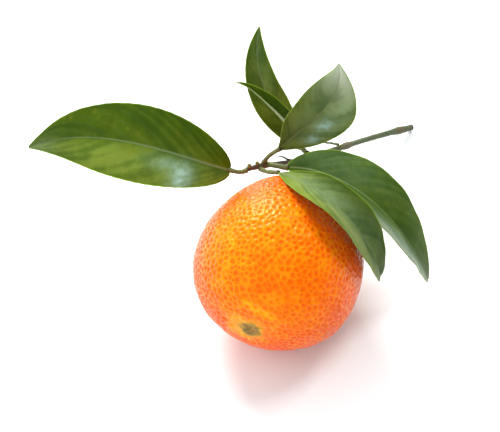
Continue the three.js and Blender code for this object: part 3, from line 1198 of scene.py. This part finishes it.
def leaves() -> list[Leaf]:
    """The six leaves, named for where they stand.

    Returns:
        The leaves, the left one first.
    """
    return [
        Leaf("left",
             rib=[(-16.5, 29.4, 42.4), (-38, 32.5, 48.5), (-63.5, 42.5, 45), (-90.6, 49.7, 32.1)],
             face=[(0, -0.55, 0.84), (-0.26, -0.63, 0.73)],
             width=27.5, widest=0.46, ends=(0.64, 0.92), fold=13,
             stalk=[(-11.6, 29.1, 42.8), (-13.2, 28.7, 42.5), (-16.3, 29.35, 42.45)],
             patches=[
                 Patch(Tint.LIGHT_PAINT, 0.45, -0.62, 0.60, 0.55, 0.62),
                 Patch(Tint.SHADE_PAINT, 0.50, 0.75, 0.60, 0.45, 0.22),
                 Patch(Tint.SHEEN_PAINT, 0.235, -0.66, 0.045, 0.40, 0.85),
                 Patch(Tint.SHEEN_PAINT, 0.31, -0.35, 0.08, 0.20, 0.40),
                 Patch(Tint.GLARE_PAINT, 0.97, -0.3, 0.10, 0.8, 0.15),
             ],
             seed=1, stalk_radius=(0.8, 1.0)),
        Leaf("upper",
             rib=[(-0.5, 30, 52), (8.5, 32.5, 61), (16, 30, 75.5), (18, 33.5, 88.5)],
             face=[(0.3, -0.9, 0.25), (-0.5, -0.75, -0.4)],
             width=21, widest=0.52, ends=(0.77, 0.85), fold=15,
             stalk=[(-5.1, 32.8, 43.3), (-3.6, 31.6, 47.5), (-0.8, 30.2, 51.65)],
             patches=[
                 Patch(Tint.LIGHT_PAINT, 0.55, 0.60, 0.60, 0.60, 0.85),
                 Patch(Tint.LIGHT_PAINT, 0.50, -0.50, 0.60, 0.60, 0.40),
                 Patch(Tint.SHEEN_PAINT, 0.44, 0.40, 0.07, 0.20, 0.85),
                 Patch(Tint.SHEEN_PAINT, 0.28, 0.62, 0.05, 0.22, 0.70),
                 Patch(Tint.SHEEN_PAINT, 0.55, 0.50, 0.40, 0.45, 0.28),
                 Patch(Tint.SHEEN_PAINT, 0.45, -0.40, 0.45, 0.60, 0.13),
                 Patch(Tint.GLARE_PAINT, 1.0, 0.20, 0.22, 1.2, 0.95),
             ],
             seed=2, wave=0.3, stalk_radius=(0.72, 0.95)),
        Leaf("back",
             rib=[(9, 48.9, 32.2), (1.5, 55.5, 40.5), (-6, 62, 54.5), (-6.7, 70.5, 72)],
             face=[(-0.32, -0.87, 0.37), (-0.22, -0.81, 0.54)],
             width=13, widest=0.5, ends=(0.62, 0.9), fold=8,
             stalk=[(10.1, 47.25, 32.3), (9.8, 47.9, 32.15), (9.25, 48.6, 32.1)],
             patches=[
                 Patch(Tint.LIGHT_PAINT, 0.45, 0.60, 0.25, 0.40, 0.50),
                 Patch(Tint.LIGHT_PAINT, 0.50, -0.30, 0.40, 0.60, 0.30),
                 Patch(Tint.SHEEN_PAINT, 0.85, 0.2, 0.30, 0.8, 0.08),
                 Patch(Tint.SHADE_PAINT, 0.20, -0.5, 0.20, 0.6, 0.35),
             ],
             seed=3, wave=0.3, stalk_radius=(0.9, 1.2)),
        Leaf("small",
             rib=[(13, 49.5, 36), (3.5, 43.5, 50), (-5.5, 45, 61), (-15, 46.7, 67.7)],
             face=[(0.45, 0.03, 0.89), (0.45, 0.03, 0.89)],
             width=9, widest=0.4, ends=(0.8, 0.95), fold=43,
             stalk=[(22.2, 58.1, 25.2), (17.4, 54.2, 30.4), (13.3, 49.8, 35.6)],
             patches=[
                 Patch(Tint.SHADE_PAINT, 0.25, 0.0, 0.55, 3.0, 0.80),
             ],
             seed=4, wave=0.1, stalk_radius=(0.4, 0.55)),
        Leaf("front",
             rib=[(-1, 24, 47.5), (10, 8.5, 57), (23.5, -1.5, 50.5), (34.5, -0.5, 21)],
             face=[(-0.26, 0.14, 0.95), (0.9, -0.29, -0.31)],
             width=19.5, widest=0.6, ends=(0.8, 0.5), fold=17,
             stalk=[(-6.2, 29.6, 42.7), (-4.1, 26.4, 45.1), (-1.4, 24.1, 47.1)],
             patches=[
                 Patch(Tint.LIGHT_PAINT, 0.30, 0.2, 0.45, 1.1, 0.85),
                 Patch(Tint.LIGHT_PAINT, 0.60, 0.75, 0.35, 0.35, 0.60),
                 Patch(Tint.SHEEN_PAINT, 0.45, 0.0, 0.30, 0.60, 0.22),
                 Patch(Tint.SHADE_PAINT, 0.85, -0.60, 0.38, 0.60, 0.60),
             ],
             seed=5, wave=0.2, stalk_radius=(0.72, 0.85)),
        Leaf("side",
             rib=[(2, 29, 44.2), (18.6, 24.4, 44.3), (37, 15.5, 34.5), (54.5, 13, 0.6)],
             face=[(0.51, 0.03, 0.86), (0.96, -0.29, 0.04)],
             width=28.5, widest=0.5, ends=(0.78, 0.68), fold=19,
             stalk=[(-3.4, 32.4, 42.15), (-1, 30.6, 43.5), (1.6, 29.2, 44.2)],
             patches=[
                 Patch(Tint.SHADE_PAINT, 0.20, -0.20, 0.30, 1.0, 0.55),
                 Patch(Tint.SHADE_PAINT, 0.50, -0.60, 0.40, 0.60, 0.25),
                 Patch(Tint.SHEEN_PAINT, 0.35, -0.50, 0.40, 0.70, 0.07),
                 Patch(Tint.GLARE_PAINT, 0.78, 0.88, 0.25, 0.18, 0.60),
                 Patch(Tint.SHEEN_PAINT, 0.80, 0.60, 0.20, 0.30, 0.25),
                 Patch(Tint.GLARE_PAINT, 1.0, 0.40, 0.10, 0.90, 0.35),
             ],
             seed=6, wave=0.2, stalk_radius=(0.9, 1.05)),
    ]


# ---- Twig, pedicel, calyx, buds and thorn ----------------------------------------------


@dataclass
class Twig:
    """The zig-zag twig, thicker at each leaf node, with its snipped end on the table."""

    route: tuple[Point, ...] = (
        (55, 90, 1.45), (48, 84.5, 5), (34, 71, 14), (22.5, 58, 23),
        (9.5, 45.5, 31), (2, 38, 37), (-6, 32, 42), (-10.8, 29.6, 43),
    )
    nodes: tuple[float, ...] = (0.08, 0.45, 0.68, 0.94)
    cut_radius: float = 1.2
    tip_radius: float = 0.75
    node_swelling: float = 0.35
    node_reach: float = 0.03
    sides: int = 40
    steps: int = 420
    cut_rings: int = 8
    seed: int = 21

    def build(self) -> bpy.types.Object:
        """Makes the twig with its ridges, nodes and cut end.

        Returns:
            The finished twig.
        """
        path = smooth_path(list(self.route), self.steps)
        path[-1] += 0.5 * unit(path[-1] - path[-2])
        share = np.linspace(0.0, 1.0, self.steps)
        node = sum(np.exp(-(((share - at) / self.node_reach) ** 2)) for at in self.nodes)
        radius = self.cut_radius + (self.tip_radius - self.cut_radius) * share + self.node_swelling * node
        turn = np.linspace(0.0, 2.0 * np.pi, self.sides, endpoint=False)
        ridges = 1.0 + 0.035 * np.cos(5.0 * turn[None] + 9.0 * share[:, None])
        form = tube(path, radius[:, None] * ridges, self.sides, open_start=True)
        skin = form.vertices
        out = unit(skin - np.vstack([np.repeat(path, self.sides, axis=0), path[-1:]]) + 1e-9)
        rough = 0.035 * wobble(skin, 1.3, self.seed, 14) + 0.02 * wobble(skin, 0.6, self.seed + 1, 14)
        rough[-1] = 0.0
        form.vertices = skin + out * rough[:, None]
        form.vertices[:, 2] = np.maximum(form.vertices[:, 2], 0.05)
        form.marks["node"] = np.append(np.repeat(node, self.sides), 1.0).clip(0.0, 1.0)
        self.add_cut_face(form)
        piece = form.make("mandarin_twig", [TwigFinish().material(), CutWoodFinish().material()])
        stand_for(piece, "twig")
        return piece

    def add_cut_face(self, form: Form) -> None:
        """Closes the snipped end with a face of bare wood, a little rough from the blades.

        Args:
            form: The twig, open at its first end.
        """
        rim = form.vertices[:self.sides]
        hub = rim.mean(axis=0)
        levels = np.linspace(1.0, 0.1, self.cut_rings)
        disc = np.vstack([*(hub + (rim - hub) * level for level in levels), hub])
        first = len(form.vertices)
        bark_faces = len(form.faces)
        form.faces += grid_faces(self.cut_rings, self.sides, True, first, flip=True)
        inner = first + (self.cut_rings - 1) * self.sides
        form.faces += [[len(form.vertices) + len(disc) - 1, inner + (j + 1) % self.sides, inner + j]
                       for j in range(self.sides)]
        away = unit(np.array(self.route[0]) - np.array(self.route[1]))
        inside = np.append(np.repeat(levels < 1.0, self.sides), True)
        disc += (inside * (0.06 * wobble(disc, 0.7, self.seed + 2) - 0.04))[:, None] * away
        out = np.append(np.repeat(levels, self.sides), 0.0)
        form.marks = {name: np.append(values, np.zeros(len(disc))) for name, values in form.marks.items()}
        form.marks["out"] = np.append(np.ones(first), out)
        form.vertices = np.vstack([form.vertices, disc])
        form.face_materials = [0] * bark_faces + [1] * (len(form.faces) - bark_faces)


@dataclass
class Pedicel:
    """The fruit's own stalk, from the calyx round to the twig."""

    turn: tuple[Point, ...] = ((13.3, 35.4, 28.5), (15.4, 42, 28.8), (16.3, 49.1, 28.2))
    radius: float = 1.05
    collar: float = 0.55
    seed: int = 31

    def build(self, fruit: Fruit, calyx_thickness: float, finish: bpy.types.Material) -> bpy.types.Object:
        """Makes the stalk, flared where it meets the calyx and the twig.

        Args:
            fruit: The fruit that it held.
            calyx_thickness: How far the calyx lifts it off the fruit.
            finish: The stalk's finish.

        Returns:
            The finished stalk.
        """
        start = fruit.past_stem_end(0.5 * calyx_thickness)
        end = np.array(self.turn[-1])
        into_twig = end + 0.9 * unit(end - np.array(self.turn[-2]))
        path = smooth_path([start, *self.turn[:-1], into_twig], 90)
        share = np.linspace(0.0, 1.0, len(path))
        flare = np.exp(-((share / 0.1) ** 2)) + 0.8 * np.exp(-(((share - 1.0) / 0.1) ** 2))
        turn = np.linspace(0.0, 2.0 * np.pi, 32, endpoint=False)
        ridges = 1.0 + 0.05 * np.cos(5.0 * turn)[None]
        form = tube(path, (self.radius + self.collar * flare)[:, None] * ridges, len(turn))
        form.vertices = form.vertices + 0.04 * wobble(form.vertices, 1.8, self.seed)[:, None]
        piece = form.make("fruit_pedicel", [finish])
        stand_for(piece, "pedicel")
        return piece


@dataclass
class Calyx:
    """The five-lobed dry star between the fruit and its stalk."""

    outer_radius: float = 3.4
    inner_radius: float = 2.1
    thickness: float = 0.9
    lobes: int = 5
    rings: int = 22
    spokes: int = 120
    seed: int = 41

    def build(self, fruit: Fruit, finish: bpy.types.Material) -> bpy.types.Object:
        """Makes the star so that its lobes lie along the fruit's neck.

        Args:
            fruit: The fruit that it sits on.
            finish: The calyx's finish.

        Returns:
            The finished calyx.
        """
        axis = fruit.axis()
        side = unit(np.cross(axis, (0.0, 0.0, 1.0)))
        over = np.cross(axis, side)
        turn = np.linspace(0.0, 2.0 * np.pi, self.spokes, endpoint=False)
        lobe = 0.5 + 0.5 * np.cos(self.lobes * turn)
        reach = self.inner_radius + (self.outer_radius - self.inner_radius) * lobe**1.4
        out = np.linspace(0.0, 1.0, self.rings)[1:]
        flat = out[:, None] * reach[None]
        spread = np.cos(turn)[:, None] * side + np.sin(turn)[:, None] * over
        level = flat[..., None] * spread
        toward = unit(level + fruit.pole_radius * axis)
        seat = fruit.radius(toward.reshape(-1, 3)).reshape(flat.shape) * (toward @ axis)
        keel = 0.16 * np.cos(self.lobes * turn)[None] * np.sin(np.pi * out)[:, None]
        crown = self.thickness * (1.0 - 0.75 * out[:, None] ** 2) + keel
        curl = 0.35 * smoothstep(0.8, 1.0, out)[:, None] * lobe[None]
        level = fruit.centre() + level
        top = level + (seat + crown + curl)[..., None] * axis
        foot = level + (seat - 0.1 + curl)[..., None] * axis
        crest = float(seat[0].mean())
        hubs = fruit.centre() + np.outer((crest + self.thickness, crest - 0.1), axis)
        count = (self.rings - 1) * self.spokes
        faces = grid_faces(self.rings - 1, self.spokes, True)
        faces += grid_faces(self.rings - 1, self.spokes, True, count, flip=True)
        last = (self.rings - 2) * self.spokes
        for j in range(self.spokes):
            k = (j + 1) % self.spokes
            faces += [[2 * count, j, k], [2 * count + 1, count + k, count + j]]
            faces.append([last + j, count + last + j, count + last + k, last + k])
        vertices = np.vstack([top.reshape(-1, 3), foot.reshape(-1, 3), hubs])
        vertices = vertices + 0.05 * wobble(vertices, 1.2, self.seed)[:, None] * axis
        along = np.concatenate([np.tile(np.repeat(out, self.spokes), 2), [0.0, 0.0]])
        piece = Form(vertices, faces, {"along": along}).make("fruit_calyx", [finish])
        stand_for(piece, "calyx")
        return piece


@dataclass
class Bud:
    """One small pointed bud, wrapped in overlapping scales."""

    node: str
    base: Point
    tip: Point
    radius: float
    seed: int
    scales: int = 4

    def build(self, finish: bpy.types.Material) -> bpy.types.Object:
        """Makes the bud, its scales wound round it from the foot to the tip.

        Args:
            finish: The bud's finish.

        Returns:
            The finished bud.
        """
        base, tip = np.array(self.base, float), np.array(self.tip, float)
        path = np.linspace(base - 0.4 * unit(tip - base), tip, 48)
        share = np.linspace(0.0, 1.0, len(path))
        turn = np.linspace(0.0, 2.0 * np.pi, 36, endpoint=False)
        swell = self.radius * (0.75 + 0.75 * share) * np.sqrt(1.0 - 0.995 * share) + 0.04
        spiral = (self.scales * share[:, None] + turn[None] / np.pi + self.seed) % 1.0
        wrap = 1.0 + 0.13 * (1.0 - spiral) ** 2 * np.sin(np.pi * share)[:, None]
        form = tube(path, swell[:, None] * wrap, len(turn))
        piece = form.make(f"{self.node}_scales", [finish])
        stand_for(piece, self.node)
        return piece


def buds() -> list[Bud]:
    """The buds at the four leaf nodes.

    Returns:
        The buds, the one at the twig's tip first.
    """
    return [
        Bud("tip_bud", (-10.3, 29.8, 44.2), (-10.5, 29.5, 45.4), 0.8, 1),
        Bud("fork_bud", (-7.6, 31.2, 43.9), (-7.8, 31, 45.1), 0.7, 2),
        Bud("middle_bud", (11.5, 46.3, 31.5), (12.6, 45.9, 33.3), 0.75, 3),
        Bud("lower_bud", (23.4, 57.6, 24.6), (24.1, 57.3, 25.9), 0.6, 4),
    ]


@dataclass
class Thorn:
    """The one thin spine beside the fork."""

    route: tuple[Point, ...] = ((3.6, 40.7, 37.1), (1.2, 39.7, 38.3), (-0.7, 38.1, 39.8), (-2.6, 37.3, 41))
    radius: float = 0.42
    tip_radius: float = 0.06
    root_depth: float = 1.4
    root_direction: Point = (0.2, -0.5, -0.85)

    def build(self, finish: bpy.types.Material) -> bpy.types.Object:
        """Makes the thorn, broad at its foot and sharp at its tip.

        Args:
            finish: The thorn's finish.

        Returns:
            The finished thorn.
        """
        foot = np.array(self.route[0], float)
        into_twig = foot + self.root_depth * np.array(self.root_direction)
        path = smooth_path([into_twig, *self.route[1:]], 50)
        share = np.linspace(0.0, 1.0, len(path))
        radii = self.tip_radius + (self.radius - self.tip_radius) * (1.0 - share) ** 0.9
        radii = radii + 0.25 * np.exp(-((share / 0.08) ** 2))
        piece = tube(path, radii, 16).make("twig_thorn", [finish])
        stand_for(piece, "thorn")
        return piece


# ---- The set ---------------------------------------------------------------------------


@dataclass(frozen=True)
class Softbox:
    """One large soft light, aimed at the fruit."""

    name: str
    azimuth: float
    elevation: float
    size: float
    power: float
    distance: float = 0.9
    aim: Point = (0.0, 0.02, 0.03)
    colour: Colour = (1.0, 0.99, 0.97)

    def hang(self) -> None:
        """Hangs the light, its azimuth counted from +Y towards +X."""
        light = bpy.data.lights.new(self.name, "AREA")
        light.shape = "SQUARE"
        light.size = self.size
        light.energy = self.power
        light.color = self.colour
        lamp = bpy.data.objects.new(self.name, light)
        azimuth, elevation = math.radians(self.azimuth), math.radians(self.elevation)
        level = math.cos(elevation)
        away = np.array((math.sin(azimuth) * level, math.cos(azimuth) * level, math.sin(elevation)))
        lamp.location = np.array(self.aim) + away * self.distance
        lamp.rotation_euler = (math.radians(90.0 - self.elevation), 0.0, math.pi - azimuth)
        bpy.context.scene.collection.objects.link(lamp)


@dataclass
class Studio:
    """The pale floor, the soft light and the camera."""

    floor_side: float = 6.0
    floor_colour: Colour = (0.88, 0.92, 0.94)
    room_strength: float = 1.46
    shade_strength: float = 0.30
    shade_direction: Point = (0.93, -0.10, 0.34)
    shade_reach: tuple[float, float] = (-0.15, 0.95)
    camera_place: Point = (-0.0101, -0.2434, 0.3432)
    camera_elevation: float = 50.0
    lens: float = 85.0
    film_width: float = 36.0

    def build(self) -> None:
        """Makes the floor, the lights and the camera."""
        scene = bpy.context.scene
        scene.view_settings.view_transform = "Standard"
        scene.view_settings.look = "None"
        self.floor()
        self.world(scene)
        Softbox("window", -26.0, 38.0, 0.34, 10.0).hang()
        Softbox("skylight", 58.0, 60.0, 0.24, 3.2).hang()
        camera = bpy.data.cameras.new("camera")
        camera.lens = self.lens
        camera.sensor_width = self.film_width
        camera.clip_start = 0.01
        eye = bpy.data.objects.new("camera", camera)
        eye.location = self.camera_place
        eye.rotation_euler = (math.radians(90.0 - self.camera_elevation), 0.0, 0.0)
        scene.collection.objects.link(eye)
        scene.camera = eye

    def floor(self) -> None:
        """Makes the level floor that the fruit rests on."""
        half = 0.5 * self.floor_side
        mesh = bpy.data.meshes.new("floor")
        mesh.from_pydata([(-half, -half, 0), (half, -half, 0), (half, half, 0), (-half, half, 0)],
                         [], [(0, 1, 2, 3)])
        s = Shader("floor_paper")
        mesh.materials.append(s.finish(Base_Color=self.floor_colour, Roughness=0.9, Specular_IOR_Level=0.2))
        floor = bpy.data.objects.new("floor", mesh)
        bpy.context.scene.collection.objects.link(floor)

    def world(self, scene: bpy.types.Scene) -> None:
        """Fills the room with white light that is weaker from one side.

        Args:
            scene: The scene that the room is round.
        """
        world = bpy.data.worlds.new("room")
        world.use_nodes = True
        nodes, links = world.node_tree.nodes, world.node_tree.links
        toward = nodes.new("ShaderNodeVectorMath")
        toward.operation = "DOT_PRODUCT"
        toward.inputs[1].default_value = self.shade_direction
        strength = nodes.new("ShaderNodeMapRange")
        strength.interpolation_type = "SMOOTHSTEP"
        numbers = (*self.shade_reach, self.room_strength, self.shade_strength)
        for socket, number in zip(("From Min", "From Max", "To Min", "To Max"), numbers):
            strength.inputs[socket].default_value = number
        background = nodes["Background"]
        background.inputs["Color"].default_value = (1.0, 1.0, 1.0, 1.0)
        links.new(nodes.new("ShaderNodeTexCoord").outputs["Generated"], toward.inputs[0])
        links.new(toward.outputs["Value"], strength.inputs["Value"])
        links.new(strength.outputs["Result"], background.inputs["Strength"])
        scene.world = world


def main() -> None:
    """Builds the pieces in order, then the floor, the light and the camera."""
    logging.basicConfig(level=logging.INFO, format="%(message)s")
    Studio().build()
    fruit = Fruit()
    fruit.build()
    blade_finishes = [BladeFinish().material(), UndersideFinish().material()]
    green = StemFinish("green_stalk", (0.115, 0.145, 0.024), (0.075, 0.085, 0.018),
                       (0.11, 0.080, 0.026), (0.20, 0.20, 0.07), end_strength=0.5).material()
    for leaf in leaves():
        leaf.blade(blade_finishes)
        leaf.leaf_stalk(green)
    Twig().build()
    dry = StemFinish("calyx_star", (0.16, 0.17, 0.05), (0.10, 0.10, 0.03),
                     (0.12, 0.08, 0.03), (0.22, 0.19, 0.08), roughness=0.7).material()
    calyx = Calyx()
    calyx.build(fruit, dry)
    Pedicel().build(fruit, calyx.thickness, green)
    scales = StemFinish("bud_scales", (0.17, 0.195, 0.05), (0.13, 0.135, 0.035),
                        (0.14, 0.11, 0.03), (0.26, 0.25, 0.09), end_strength=0.4).material()
    for bud in buds():
        bud.build(scales)
    Thorn().build(StemFinish("thorn_brown", (0.11, 0.08, 0.04), (0.06, 0.045, 0.025),
                             (0.05, 0.035, 0.02), (0.14, 0.11, 0.06)).material())


if __name__ == "__main__":
    main()
